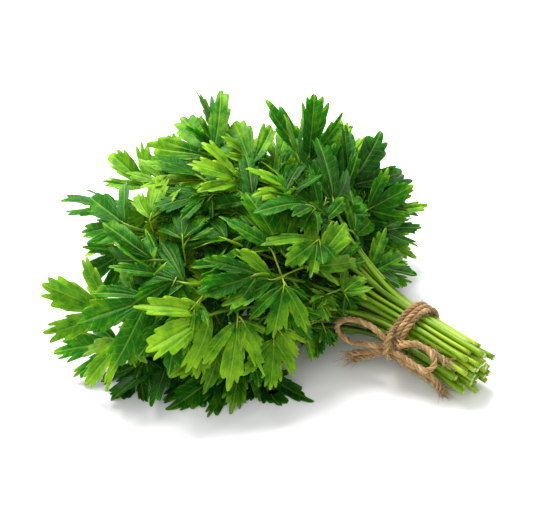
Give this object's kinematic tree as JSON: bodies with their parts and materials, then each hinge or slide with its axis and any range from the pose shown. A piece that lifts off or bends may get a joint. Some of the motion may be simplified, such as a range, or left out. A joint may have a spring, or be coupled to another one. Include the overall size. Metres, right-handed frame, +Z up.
{
  "type": "parsley bunch",
  "caption": "Bunch of flat-leaved parsley tied with jute twine in a bow, lying on its side with the leaves fanned out and the stems cut straight.",
  "frame": {"origin": "on the surface the bunch lies on, under the middle of its footprint", "axes": "+X along the stems toward the cut ends, +Y to the side away from the bow, +Z up from the surface"},
  "size_m": [0.276, 0.2578, 0.11],
  "materials": {
    "parsley_sprig": "fresh leaf, soft gloss, on a paler ridged stem",
    "jute_twine": "coarse twisted jute with loose fibres"
  },
  "bodies": {
    "root": {"sprig_01": "parsley_sprig", "sprig_02": "parsley_sprig", "sprig_03": "parsley_sprig", "sprig_04": "parsley_sprig", "sprig_05": "parsley_sprig", "sprig_06": "parsley_sprig", "sprig_07": "parsley_sprig", "sprig_08": "parsley_sprig", "sprig_09": "parsley_sprig", "sprig_10": "parsley_sprig", "sprig_11": "parsley_sprig", "sprig_12": "parsley_sprig", "sprig_13": "parsley_sprig", "sprig_14": "parsley_sprig", "sprig_15": "parsley_sprig", "sprig_16": "parsley_sprig", "sprig_17": "parsley_sprig", "sprig_18": "parsley_sprig", "sprig_19": "parsley_sprig", "sprig_20": "parsley_sprig", "sprig_21": "parsley_sprig", "sprig_22": "parsley_sprig", "sprig_23": "parsley_sprig", "sprig_24": "parsley_sprig", "sprig_25": "parsley_sprig", "sprig_26": "parsley_sprig", "sprig_27": "parsley_sprig", "sprig_28": "parsley_sprig", "sprig_29": "parsley_sprig", "sprig_30": "parsley_sprig", "sprig_31": "parsley_sprig", "sprig_32": "parsley_sprig", "sprig_33": "parsley_sprig", "sprig_34": "parsley_sprig", "sprig_35": "parsley_sprig", "sprig_36": "parsley_sprig", "sprig_37": "parsley_sprig", "sprig_38": "parsley_sprig", "sprig_39": "parsley_sprig", "sprig_40": "parsley_sprig", "sprig_41": "parsley_sprig", "sprig_42": "parsley_sprig", "sprig_43": "parsley_sprig", "sprig_44": "parsley_sprig", "sprig_45": "parsley_sprig", "sprig_46": "parsley_sprig", "sprig_47": "parsley_sprig", "sprig_48": "parsley_sprig", "sprig_49": "parsley_sprig", "sprig_50": "parsley_sprig", "sprig_51": "parsley_sprig", "sprig_52": "parsley_sprig", "sprig_53": "parsley_sprig", "sprig_54": "parsley_sprig", "twine_band": "jute_twine", "twine_knot": "jute_twine", "twine_loop_left": "jute_twine", "twine_loop_right": "jute_twine", "twine_tail_left": "jute_twine", "twine_tail_right": "jute_twine"}
  },
  "joints": []
}
